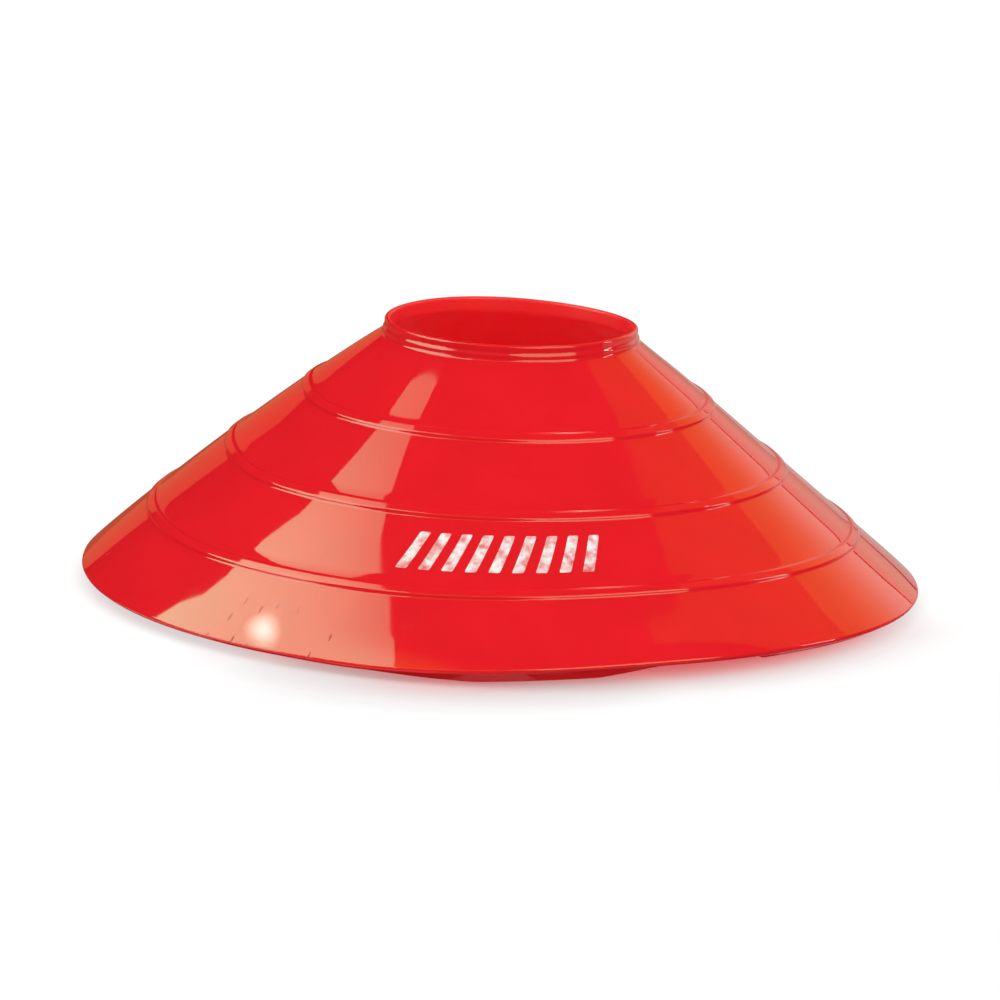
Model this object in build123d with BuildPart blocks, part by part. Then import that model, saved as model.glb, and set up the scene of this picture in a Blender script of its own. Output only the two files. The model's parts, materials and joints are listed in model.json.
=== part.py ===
from build123d import *
from math import asin, atan, atan2, cos, degrees, radians, sin
import os

FULL_TURN = 360

# Sports marker cone: one hollow moulding of flexible plastic with a printed mark.
# Millimetres. +Z is up, and the origin is on the floor under the middle of the cone.

# Driving sizes of the whole cone
overall_height = 65.0
lip_diameter = 200.0
collar_diameter = 60.6

# Collar round the open top: a rim ring, then a slightly wider ring below a soft step
collar_height = 3.5
collar_wall = 1.3
rim_ring_height = 1.5
collar_step = 0.4
collar_step_sweep = 60.0
collar_rounding = 0.55
collar_base_fillet = 0.7
collar_throat_rounding = 0.8

# Conical wall, measured square to its slope
cone_wall = 1.2

# Raised ridges between the bands, sharper on their lower side
ridge_count = 3
ridge_height = 0.55
ridge_upper_run = 2.8
ridge_lower_run = 2.2
ridge_flare_radius = 3.0
ridge_crease_radius = 2.0
lowest_band_width = 15.9

# Lip at the bottom of the cone and the foot set back under it
lip_nose_radius = 0.7
foot_height = 2.8
foot_inset = 1.2
foot_thickness = 1.8
foot_edge_rounding = 0.3
foot_root_fillet = 1.0

# Arched notches in the foot, where fingers lift the cone off the floor
notch_count = 3
notch_floor_width = 109.0
notch_roof_width = 75.0
notch_corner_radius = 12.0
first_notch_angle = -43.5

# Printed mark: a row of slanted bars on the front of the third band
print_band = 3
print_bar_count = 9
print_bar_width = 2.6
print_bar_height = 11.0
print_bar_pitch = 5.2
print_bar_slant = 3.4
print_bar_rounding = 0.4
print_film_thickness = 0.1
print_front_angle = -90.0

os.makedirs("parts", exist_ok=True)

# Radii and levels that follow from the driving sizes
lip_radius = lip_diameter / 2
collar_radius = collar_diameter / 2
collar_bore_radius = collar_radius - collar_wall
collar_base_radius = collar_radius + collar_step
collar_base_level = overall_height - collar_height
foot_radius = lip_radius - foot_inset
foot_bore_radius = foot_radius - foot_thickness

# The outer slope runs from the foot of the collar to a tangent on the lip's round nose
slope_top = Vector(collar_base_radius, collar_base_level)
nose_center = Vector(lip_radius - lip_nose_radius, foot_height + lip_nose_radius)
nose_offset = nose_center - slope_top
slope_angle = atan2(-nose_offset.Y, nose_offset.X) - asin(lip_nose_radius / nose_offset.length)
down_slope = Vector(cos(slope_angle), -sin(slope_angle))
slope_normal = Vector(sin(slope_angle), cos(slope_angle))
nose_top = nose_center + slope_normal * lip_nose_radius
nose_tip = nose_center + Vector(cos(slope_angle / 2), sin(slope_angle / 2)) * lip_nose_radius
nose_bottom = nose_center - Vector(0, lip_nose_radius)

# Ridges stand at equal steps of radius between the collar and the lowest band
ridge_pitch = (lip_radius - lowest_band_width - collar_radius) / ridge_count


def slope_point(radius):
    """Point of the outer slope at a radius, in the section plane."""
    return slope_top + down_slope * ((radius - slope_top.X) / cos(slope_angle))


def inner_level(radius):
    """Height of the inner face of the conical wall at a radius."""
    return slope_point(radius).Y - cone_wall / cos(slope_angle)


def ridge_sweep(run):
    """Angle through which each of a ridge side's two arcs turns."""
    return 2 * atan(ridge_height / run)


def ridge_arcs(start):
    """Draw one ridge from its upper start: flare, crest and lower crease, and return its last arc."""
    upper_sweep = ridge_sweep(ridge_upper_run)
    lower_sweep = ridge_sweep(ridge_lower_run)
    upper_crest_radius = ridge_upper_run / sin(upper_sweep) - ridge_flare_radius
    lower_crest_radius = ridge_lower_run / sin(lower_sweep) - ridge_crease_radius
    flare = JernArc(start, down_slope, ridge_flare_radius, degrees(upper_sweep))
    crest = JernArc(flare @ 1, flare % 1, upper_crest_radius, -degrees(upper_sweep))
    shoulder = JernArc(crest @ 1, crest % 1, lower_crest_radius, -degrees(lower_sweep))
    return JernArc(shoulder @ 1, shoulder % 1, ridge_crease_radius, degrees(lower_sweep))


def collar_step_arcs(start):
    """Draw the soft step between the collar's two rings from its upper start, and return its last arc."""
    step_radius = collar_step / 2 / (1 - cos(radians(collar_step_sweep)))
    flare = JernArc(start, (0, -1), step_radius, collar_step_sweep)
    return JernArc(flare @ 1, flare % 1, step_radius, -collar_step_sweep)


def corner(section, point):
    """Vertex of a section that lies at a point of its plane."""
    return section.vertices().sort_by_distance(point)[0]


# Moulded shell: a section through collar, ridged slope, lip and foot, turned about the axis
collar_top_outside = Vector(collar_radius, overall_height)
collar_top_inside = Vector(collar_bore_radius, overall_height)
rim_ring_bottom = Vector(collar_radius, overall_height - rim_ring_height)
throat = Vector(collar_bore_radius, inner_level(collar_bore_radius))
foot_root = Vector(foot_bore_radius, inner_level(foot_bore_radius))
foot_floor_inside = Vector(foot_bore_radius, 0)
foot_floor_outside = Vector(foot_radius, 0)
foot_top_outside = Vector(foot_radius, foot_height)

with BuildPart() as cone_shell:
    with BuildSketch(Plane.XZ) as shell_section:
        with BuildLine() as shell_outline:
            Line(collar_top_outside, rim_ring_bottom)
            step_arc = collar_step_arcs(rim_ring_bottom)
            Line(step_arc @ 1, slope_top)
            band_start = slope_top
            for ridge in range(1, ridge_count + 1):
                crest_point = slope_point(collar_radius + ridge * ridge_pitch)
                ridge_start = crest_point - down_slope * ridge_upper_run
                Line(band_start, ridge_start)
                last_arc = ridge_arcs(ridge_start)
                band_start = last_arc @ 1
            Line(band_start, nose_top)
            ThreePointArc(nose_top, nose_tip, nose_bottom)
            Polyline(nose_bottom, foot_top_outside, foot_floor_outside, foot_floor_inside, foot_root)
            Polyline(foot_root, throat, collar_top_inside, collar_top_outside)
        make_face()
        fillet([corner(shell_section, collar_top_outside)], collar_rounding)
        fillet([corner(shell_section, collar_top_inside)], collar_rounding)
        fillet([corner(shell_section, slope_top)], collar_base_fillet)
        fillet([corner(shell_section, throat)], collar_throat_rounding)
        fillet([corner(shell_section, foot_root)], foot_root_fillet)
        fillet([corner(shell_section, foot_floor_inside)], foot_edge_rounding)
        fillet([corner(shell_section, foot_floor_outside)], foot_edge_rounding)
    revolve(axis=Axis.Z)

    # Notches, cut from the middle outwards through the foot alone
    notch_planes = []
    for notch in range(notch_count):
        notch_angle = radians(first_notch_angle + notch * FULL_TURN / notch_count)
        outward = (cos(notch_angle), sin(notch_angle), 0)
        along_foot = (-sin(notch_angle), cos(notch_angle), 0)
        notch_planes.append(Plane(origin=(0, 0, 0), x_dir=along_foot, z_dir=outward))
    with BuildSketch(*notch_planes) as notch_profile:
        with BuildLine():
            Polyline(
                (-notch_floor_width / 2, 0),
                (notch_floor_width / 2, 0),
                (notch_roof_width / 2, foot_height),
                (-notch_roof_width / 2, foot_height),
                close=True,
            )
        make_face()
        fillet(notch_profile.vertices().group_by(Axis.Y)[-1], notch_corner_radius)
    extrude(amount=lip_radius, mode=Mode.SUBTRACT)

cone_shell.part.label = "cone_shell"
export_step(cone_shell.part, "parts/cone_shell.step")

# Printed mark: slanted bars that keep only a thin skin of the band they lie on
print_lower_ridge = slope_point(collar_radius + print_band * ridge_pitch)
print_upper_ridge = slope_point(collar_radius + (print_band - 1) * ridge_pitch)
band_top = print_upper_ridge + down_slope * ridge_lower_run
band_bottom = print_lower_ridge - down_slope * ridge_upper_run
band_middle = (band_top + band_bottom) / 2
bar_step = degrees(print_bar_pitch / band_middle.X)

with BuildPart() as print_marking:
    bar_planes = []
    for bar in range(print_bar_count):
        bar_angle = radians(print_front_angle + (bar - (print_bar_count - 1) / 2) * bar_step)
        round_cone = (-sin(bar_angle), cos(bar_angle), 0)
        off_surface = (
            slope_normal.X * cos(bar_angle),
            slope_normal.X * sin(bar_angle),
            slope_normal.Y,
        )
        bar_center = (band_middle.X * cos(bar_angle), band_middle.X * sin(bar_angle), band_middle.Y)
        bar_planes.append(Plane(origin=bar_center, x_dir=round_cone, z_dir=off_surface))
    with BuildSketch(*bar_planes) as bar_profile:
        with BuildLine():
            Polyline(
                (-print_bar_width / 2 - print_bar_slant / 2, -print_bar_height / 2),
                (print_bar_width / 2 - print_bar_slant / 2, -print_bar_height / 2),
                (print_bar_width / 2 + print_bar_slant / 2, print_bar_height / 2),
                (-print_bar_width / 2 + print_bar_slant / 2, print_bar_height / 2),
                close=True,
            )
        make_face()
        fillet(bar_profile.vertices(), print_bar_rounding)
    extrude(amount=print_bar_width, both=True)
    with BuildSketch(Plane.XZ) as film_section:
        with BuildLine():
            Polyline(
                band_top,
                band_bottom,
                band_bottom + slope_normal * print_film_thickness,
                band_top + slope_normal * print_film_thickness,
                close=True,
            )
        make_face()
    revolve(axis=Axis.Z, mode=Mode.INTERSECT)

print_marking.part.label = "print_marking"
export_step(print_marking.part, "parts/print_marking.step")
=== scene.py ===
"""Looks of a sports marker cone: one shell moulded in red plastic, its printed bars, and a small studio.

Sizes are in millimetres, as on a drawing of the cone, and turn into metres where a mesh is made. Angles round
the cone are in degrees from its front, which faces -Y, and grow towards +X.
"""

import json
import logging
from dataclasses import dataclass, field
from enum import Enum
from math import asin, atan, atan2, cos, hypot, radians, sin, tan

import bpy
import numpy as np
from mathutils import Matrix, Vector


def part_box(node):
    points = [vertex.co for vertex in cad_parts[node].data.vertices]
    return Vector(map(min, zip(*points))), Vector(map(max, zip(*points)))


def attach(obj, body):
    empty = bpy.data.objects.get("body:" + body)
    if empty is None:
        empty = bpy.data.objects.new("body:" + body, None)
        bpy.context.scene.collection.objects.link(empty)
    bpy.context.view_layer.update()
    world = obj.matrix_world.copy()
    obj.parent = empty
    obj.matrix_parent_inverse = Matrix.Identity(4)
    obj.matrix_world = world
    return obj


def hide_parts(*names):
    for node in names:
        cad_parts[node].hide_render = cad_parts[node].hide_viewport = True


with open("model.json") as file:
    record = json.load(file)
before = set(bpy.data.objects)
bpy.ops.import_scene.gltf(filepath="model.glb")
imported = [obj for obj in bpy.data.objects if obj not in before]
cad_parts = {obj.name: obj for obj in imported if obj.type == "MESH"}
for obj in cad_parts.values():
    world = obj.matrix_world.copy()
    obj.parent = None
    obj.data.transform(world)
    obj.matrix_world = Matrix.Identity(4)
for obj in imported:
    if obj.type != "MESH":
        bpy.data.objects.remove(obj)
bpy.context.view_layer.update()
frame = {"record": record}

MM = 0.001
FULL_CIRCLE = 360.0
HALF_CIRCLE = 180.0
QUARTER_CIRCLE = 90.0
FULL_TURN = radians(FULL_CIRCLE)
HALF_TURN = radians(HALF_CIRCLE)
QUARTER_TURN = radians(QUARTER_CIRCLE)
FRONT = 0.0
LEFT = -90.0
BODY = "root"

Point = tuple[float, float]
Colour = tuple[float, float, float, float]
Socket = bpy.types.NodeSocket
log = logging.getLogger("marker_cone")


class CadNode(Enum):
    """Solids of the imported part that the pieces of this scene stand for."""

    SHELL = "cone_shell"
    PRINT = "print_marking"


class Slot(Enum):
    """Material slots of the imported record."""

    RED_PLASTIC = "red_plastic"
    WHITE_INK = "white_ink"


class ShellFace(Enum):
    """The shell's two finishes, numbered as its mesh numbers its materials."""

    OUTSIDE = 0
    INSIDE = 1


class Tint(Enum):
    """Colours of the studio's lights, as linear red, green, blue and alpha."""

    WHITE = (1.0, 1.0, 1.0, 1.0)
    WARM_WHITE = (0.9, 1.0, 0.85, 1.0)
    PALE_GREEN = (0.3, 1.0, 0.62, 1.0)
    PALE = (0.7, 1.0, 0.8, 1.0)
    PEACH = (0.9, 1.0, 0.6, 1.0)
    CREAM = (0.9, 1.05, 0.8, 1.0)
    GREY = (1.0, 1.0, 0.9, 1.0)
    WARM = (1.0, 1.0, 0.1, 1.0)
    AMBER = (1.0, 0.9, 0.05, 1.0)
    RUSSET = (2.2, 0.95, 0.4, 1.0)
    RED = (1.0, 0.04, 0.05, 1.0)


def slot_colour(slot: Slot) -> Colour:
    """Base colour that the record gives a material slot.

    Args:
        slot: The slot to look up.

    Returns:
        Linear red, green, blue and alpha.
    """
    for row in frame["record"]["materials"]:
        if row["slot"] == slot.value:
            red, green, blue = row["base_color"]
            return (red, green, blue, 1.0)
    raise KeyError(slot.value)


def tinted(colour: Colour, share: float) -> Colour:
    """A colour made lighter or darker by a share."""
    return (colour[0] * share, colour[1] * share, colour[2] * share, colour[3])


def eased(low: float, high: float, value: np.ndarray) -> np.ndarray:
    """Smooth rise from 0 at one value to 1 at another."""
    share = np.clip((value - low) / (high - low), 0.0, 1.0)
    return share * share * (3.0 - 2.0 * share)


def plateau(angle: np.ndarray, start: float, full: float, fade: float, end: float) -> np.ndarray:
    """Smooth rise from 0 to 1 and fall back to 0 on the way round the cone.

    Args:
        angle: Angles to look up, in degrees.
        start: Angle where the rise starts.
        full: Angle where it is whole.
        fade: Angle where the fall starts.
        end: Angle where it ends, on either side of the start.

    Returns:
        The height at each angle, from 0 to 1.
    """
    way = 1.0 if end > start else -1.0
    up = eased(way * start, way * full, way * angle)
    down = 1.0 - eased(way * fade, way * end, way * angle)
    return np.minimum(up, down)


def facing(angle: np.ndarray, middle: float) -> np.ndarray:
    """How far places round the cone face an angle: 1 at it, and 0 from a quarter turn away."""
    return np.clip(np.cos(np.radians(angle - middle)), 0.0, None)


class SectionPen:
    """Draws a section of straight runs and arcs, as points of radius and height."""

    run_step = 2.0
    end_guard = 0.12
    shortest_guarded_run = 4 * end_guard
    arc_step = radians(9)
    fewest_arc_steps = 4

    def __init__(self, start: Point, heading: float) -> None:
        """Set the pen down.

        Args:
            start: First point, in millimetres.
            heading: Direction of the first arc, in radians from the direction of growing radius.
        """
        self.points: list[Point] = [start]
        self.heading = heading

    @property
    def here(self) -> Point:
        """The point that the pen is at."""
        return self.points[-1]

    def run_to(self, target: Point) -> None:
        """Draw a straight run, with a point close to each end so that its shading stays flat.

        Args:
            target: Where the run ends.
        """
        start = self.here
        length = hypot(target[0] - start[0], target[1] - start[1])
        self.heading = atan2(target[1] - start[1], target[0] - start[0])
        stops = [length]
        if length > self.shortest_guarded_run:
            count = max(1, round(length / self.run_step))
            between = [length * step / count for step in range(1, count)]
            stops = [self.end_guard, *between, length - self.end_guard, length]
        for stop in stops:
            self.points.append((start[0] + stop * cos(self.heading), start[1] + stop * sin(self.heading)))

    def run(self, length: float) -> None:
        """Draw a straight run of a given length along the heading."""
        start = self.here
        self.run_to((start[0] + length * cos(self.heading), start[1] + length * sin(self.heading)))

    def arc(self, radius: float, turn: float) -> None:
        """Draw an arc that leaves along the heading.

        Args:
            radius: Radius of the arc.
            turn: Angle in radians that the heading turns by, positive to the left.
        """
        side = 1.0 if turn > 0 else -1.0
        start = self.here
        centre_x = start[0] - side * radius * sin(self.heading)
        centre_y = start[1] + side * radius * cos(self.heading)
        steps = max(self.fewest_arc_steps, round(abs(turn) / self.arc_step))
        for step in range(1, steps + 1):
            heading = self.heading + turn * step / steps
            x = centre_x + side * radius * sin(heading)
            y = centre_y - side * radius * cos(heading)
            self.points.append((x, y))
        self.heading += turn

    def round_corner(self, corner: Point, heading: float, radius: float) -> None:
        """Run to a corner and round it.

        Args:
            corner: The sharp corner.
            heading: Direction in radians in which the section goes on.
            radius: Radius of the rounding.
        """
        start = self.here
        arriving = atan2(corner[1] - start[1], corner[0] - start[0])
        turn = (heading - arriving + HALF_TURN) % FULL_TURN - HALF_TURN
        reach = radius * tan(abs(turn) / 2)
        self.run_to((corner[0] - reach * cos(arriving), corner[1] - reach * sin(arriving)))
        self.arc(radius, turn)


@dataclass
class Sway:
    """How the soft shell has bent, in millimetres at radii and angles of the straight cone.

    The lip has sprung up on the right, reaches out and curls down at the front, and spreads on the left,
    where the slope bulges. The rim has sunk at the back. Each row of angles gives the start, the full height,
    the start of the fall and its end.
    """

    lip_radius: float
    still_radius: float = 48.0
    growth: float = 1.8
    lift: float = 3.05
    lift_angles: tuple[float, ...] = (-20.0, 26.0, 26.0, 108.0)
    spread: float = 0.6
    reach: float = 1.05
    reach_start: float = 86.0
    curl: float = 0.28
    curl_radius: float = 94.2
    curl_angles: tuple[float, ...] = (-30.0, -19.0, 100.0, 140.0)
    rim_dip: float = 0.8
    rim_dip_angle: float = 135.0
    rim_dip_end: float = 44.0
    bulge: float = 2.4
    bulge_top_radius: float = 30.7
    bulge_fullness: float = 0.7
    bulge_angles: tuple[float, ...] = (-58.0, -98.0, -98.0, -175.0)

    def along(self, start: float, radius: np.ndarray) -> np.ndarray:
        """Part of the way from a radius out to the lip."""
        return np.clip((radius - start) / (self.lip_radius - start), 0.0, None)

    def share(self, radius: np.ndarray) -> np.ndarray:
        """Part of the lip's movement that reaches a radius."""
        return self.along(self.still_radius, radius) ** self.growth

    def rise(self, angle: np.ndarray) -> np.ndarray:
        """Lift of the lip."""
        return self.lift * plateau(angle, *self.lift_angles)

    def outward(self, angle: np.ndarray) -> np.ndarray:
        """Spread of the lip."""
        return self.spread * facing(angle, LEFT) ** 2

    def swell(self, radius: np.ndarray, angle: np.ndarray) -> np.ndarray:
        """Height of the bulge over the straight slope."""
        profile = np.sin(HALF_TURN * self.along(self.bulge_top_radius, radius)).clip(0.0, None)
        return self.bulge * profile**self.bulge_fullness * plateau(angle, *self.bulge_angles)

    def forward(self, radius: np.ndarray, angle: np.ndarray) -> np.ndarray:
        """How far the lip reaches on down the slope at the front, in radius."""
        return self.reach * eased(self.reach_start, self.lip_radius, radius) * facing(angle, FRONT)

    def droop(self, radius: np.ndarray, angle: np.ndarray) -> np.ndarray:
        """How far the lip curls down at the front and on the right."""
        return self.curl * plateau(angle, *self.curl_angles) * self.along(self.curl_radius, radius) ** 2

    def dip(self, radius: np.ndarray, angle: np.ndarray) -> np.ndarray:
        """How far the collar has sunk on one side of the back."""
        near_rim = 1.0 - eased(self.bulge_top_radius, self.rim_dip_end, radius)
        return self.rim_dip * near_rim * facing(angle, self.rim_dip_angle) ** 2


@dataclass
class FootNotches:
    """Depth of the foot round the cone: arched notches, and an uneven edge where the soft lip has bent.

    Angles are in degrees and widths in millimetres. The tongue is the low strip of foot that is left in the
    front notch.
    """

    count: int = 3
    floor_width: float = 109.0
    roof_width: float = 75.0
    first_angle: float = 46.5
    shallow_share: float = 0.12
    shallow_angle: float = -20.0
    deep_share: float = 1.15
    deep_angle: float = -2.0
    deep_end: float = 40.0
    shallow_start: float = -75.0
    tongue_start: float = 38.0
    tongue_end: float = 88.0
    tongue_share: float = 0.4
    tongue_edge: float = 1.2
    worn_share: float = 0.2
    worn_start: float = 60.0
    worn_fade: float = 108.0
    worn_end: float = 128.0

    def notched(self, angle: np.ndarray, radius: np.ndarray) -> np.ndarray:
        """Part of the foot's depth that the notches leave.

        Args:
            angle: Angles in degrees.
            radius: Radii in millimetres.

        Returns:
            1 where the foot is whole and 0 under the roof of a notch.
        """
        left = np.ones_like(angle)
        pitch = FULL_CIRCLE / self.count
        for notch in range(self.count):
            off = (angle - self.first_angle - notch * pitch + HALF_CIRCLE) % FULL_CIRCLE - HALF_CIRCLE
            across = np.abs(radius * np.sin(np.radians(off)))
            in_front = np.abs(off) < QUARTER_CIRCLE
            kept = eased(self.roof_width / 2, self.floor_width / 2, across)
            left = np.where(in_front, np.minimum(left, kept), left)
        return left

    def depth_share(self, angle: np.ndarray, radius: np.ndarray) -> np.ndarray:
        """Part of the foot's full depth at places round the cone.

        Args:
            angle: Angles in degrees.
            radius: Radii in millimetres.

        Returns:
            Shares, a little over 1 where the foot hangs down to the floor from the lifted lip.
        """
        deepening = eased(self.shallow_angle, self.deep_angle, angle)
        bent = self.shallow_share + (self.deep_share - self.shallow_share) * deepening
        at_front = (angle > self.shallow_start) & (angle < self.deep_end)
        worn = self.worn_share + (1.0 - self.worn_share) * eased(self.worn_fade, self.worn_end, angle)
        at_side = (angle > self.worn_start) & (angle < self.worn_end)
        share = self.notched(angle, radius) * np.where(at_front, bent, np.where(at_side, worn, 1.0))
        in_tongue = eased(self.tongue_start - self.tongue_edge, self.tongue_start, angle)
        taper = np.clip((self.tongue_end - angle) / (self.tongue_end - self.tongue_start), 0.0, 1.0)
        return np.maximum(share, self.tongue_share * in_tongue * taper)


@dataclass(frozen=True)
class Grain:
    """Soft noise: grains to the metre, octaves of finer noise, and the values between which it counts."""

    scale: float
    detail: float
    low: float = 0.0
    high: float = 1.0


class Graph:
    """A node tree, with short calls for the nodes that the finishes and the studio share."""

    def __init__(self, owner: bpy.types.Material | bpy.types.World) -> None:
        """Start on the node tree of a new material or world.

        Args:
            owner: The material or world.
        """
        owner.use_nodes = True
        self.owner = owner
        self.tree = owner.node_tree

    @property
    def shader(self) -> bpy.types.Node:
        """The shader that a new material starts with."""
        return self.tree.nodes["Principled BSDF"]

    def add(self, kind: str, **settings: object) -> bpy.types.Node:
        """Add a node.

        Args:
            kind: Blender's name of the node type.
            settings: Properties of the node.

        Returns:
            The new node.
        """
        node = self.tree.nodes.new(kind)
        for key, value in settings.items():
            setattr(node, key, value)
        return node

    def link(self, source: Socket, target: Socket) -> None:
        """Join an output to an input."""
        self.tree.links.new(source, target)

    def show(self, surface: Socket) -> None:
        """Put another surface in place of the shader that a new material starts with."""
        self.tree.nodes.remove(self.shader)
        self.link(surface, self.tree.nodes["Material Output"].inputs["Surface"])

    def place(self) -> Socket:
        """Place on the object, in metres."""
        return self.add("ShaderNodeTexCoord").outputs["Object"]

    def noise(self, place: Socket, grain: Grain) -> Socket:
        """Soft noise.

        Args:
            place: Coordinates in metres.
            grain: Size and detail of the noise.

        Returns:
            The noise, about 0.5.
        """
        node = self.add("ShaderNodeTexNoise")
        node.inputs["Scale"].default_value = grain.scale
        node.inputs["Detail"].default_value = grain.detail
        self.link(place, node.inputs["Vector"])
        return node.outputs["Fac"]

    def map_range(
        self,
        value: Socket,
        low: float,
        high: float,
        to_low: float = 0.0,
        to_high: float = 1.0,
        smooth: bool = True,
    ) -> Socket:
        """Map a value from one range to another, clamped.

        Args:
            value: The value.
            low: Start of its range.
            high: End of its range.
            to_low: Result at the start.
            to_high: Result at the end.
            smooth: Whether the result eases in and out.

        Returns:
            The mapped value.
        """
        node = self.add("ShaderNodeMapRange", interpolation_type="SMOOTHSTEP" if smooth else "LINEAR")
        node.inputs["From Min"].default_value = low
        node.inputs["From Max"].default_value = high
        node.inputs["To Min"].default_value = to_low
        node.inputs["To Max"].default_value = to_high
        self.link(value, node.inputs["Value"])
        return node.outputs["Result"]

    def spots(self, place: Socket, grain: Grain, to_low: float = 0.0, to_high: float = 1.0) -> Socket:
        """Soft noise, mapped from the values between which it counts."""
        return self.map_range(self.noise(place, grain), grain.low, grain.high, to_low, to_high)

    def calc(self, operation: str, value: Socket, other: float | Socket = 0.0) -> Socket:
        """Result of a sum on a value and a number or another value.

        Args:
            operation: Blender's name of the sum.
            value: The first value.
            other: A number or a second value.

        Returns:
            The result.
        """
        node = self.add("ShaderNodeMath", operation=operation)
        self.link(value, node.inputs[0])
        if isinstance(other, float):
            node.inputs[1].default_value = other
        else:
            self.link(other, node.inputs[1])
        return node.outputs["Value"]

    def times(self, value: Socket, other: float | Socket) -> Socket:
        """Product of a value and a number or another value."""
        return self.calc("MULTIPLY", value, other)

    def vector(self, operation: str, place: Socket, other: Vector | None = None) -> bpy.types.Node:
        """Sum on a place and a fixed vector.

        Args:
            operation: Blender's name of the sum.
            place: The place.
            other: The fixed vector, for a sum that takes two.

        Returns:
            The node of the sum.
        """
        node = self.add("ShaderNodeVectorMath", operation=operation)
        self.link(place, node.inputs[0])
        if other is not None:
            node.inputs[1].default_value = other
        return node

    def shifted(self, place: Socket, start: Vector) -> Socket:
        """A place as seen from a start."""
        return self.vector("SUBTRACT", place, start).outputs["Vector"]

    def scaled(self, place: Socket, scale: Vector) -> Socket:
        """A place with each of its parts made longer or shorter."""
        return self.vector("MULTIPLY", place, scale).outputs["Vector"]

    def length(self, place: Socket) -> Socket:
        """Distance of a place from the origin."""
        return self.vector("LENGTH", place).outputs["Value"]

    def dot(self, place: Socket, direction: Vector) -> Socket:
        """How far a place lies along a direction."""
        return self.vector("DOT_PRODUCT", place, direction).outputs["Value"]

    def ramp(self, value: Socket, stops: tuple[tuple[float, Colour], ...]) -> Socket:
        """Blend of colours along a value.

        Args:
            value: The value.
            stops: Values and the colours at them, in order.

        Returns:
            The colour.
        """
        node = self.add("ShaderNodeValToRGB")
        elements = node.color_ramp.elements
        while len(elements) < len(stops):
            elements.new(1.0)
        for element, (position, colour) in zip(elements, stops):
            element.position = position
            element.color = colour
        self.link(value, node.inputs["Fac"])
        return node.outputs["Color"]

    def mix_colour(self, share: Socket, first: Colour | Socket, last: Colour) -> Socket:
        """Blend from a first colour to a last one.

        Args:
            share: Part of the last colour.
            first: A colour or a colour output.
            last: The colour blended in.

        Returns:
            The blend.
        """
        node = self.add("ShaderNodeMix", data_type="RGBA")
        self.link(share, node.inputs["Factor"])
        if isinstance(first, Socket):
            self.link(first, node.inputs["A"])
        else:
            node.inputs["A"].default_value = first
        node.inputs["B"].default_value = last
        return node.outputs["Result"]

    def product(self, first: Socket, second: Socket) -> Socket:
        """Product of two colours.

        Args:
            first: The first colour.
            second: The second colour.

        Returns:
            The product.
        """
        node = self.add("ShaderNodeMix", data_type="RGBA", blend_type="MULTIPLY")
        node.inputs["Factor"].default_value = 1.0
        self.link(first, node.inputs["A"])
        self.link(second, node.inputs["B"])
        return node.outputs["Result"]

    def bump(self, height: Socket, distance: float, below: Socket | None = None) -> Socket:
        """Relief from a height.

        Args:
            height: Height from 0 to 1.
            distance: What a height of 1 stands for, in millimetres.
            below: Relief that this one lies on.

        Returns:
            The bent normal.
        """
        node = self.add("ShaderNodeBump")
        node.inputs["Distance"].default_value = distance * MM
        self.link(height, node.inputs["Height"])
        if below is not None:
            self.link(below, node.inputs["Normal"])
        return node.outputs["Normal"]

    def seen_directly(self) -> Socket:
        """Tell rays of the camera, gloss and glass from those that carry light.

        Returns:
            1 for a ray that shows the background and 0 for one that lights a surface.
        """
        rays = self.add("ShaderNodeLightPath").outputs
        seen = self.calc("MAXIMUM", rays["Is Camera Ray"], rays["Is Glossy Ray"])
        return self.calc("MAXIMUM", seen, rays["Is Transmission Ray"])


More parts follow.
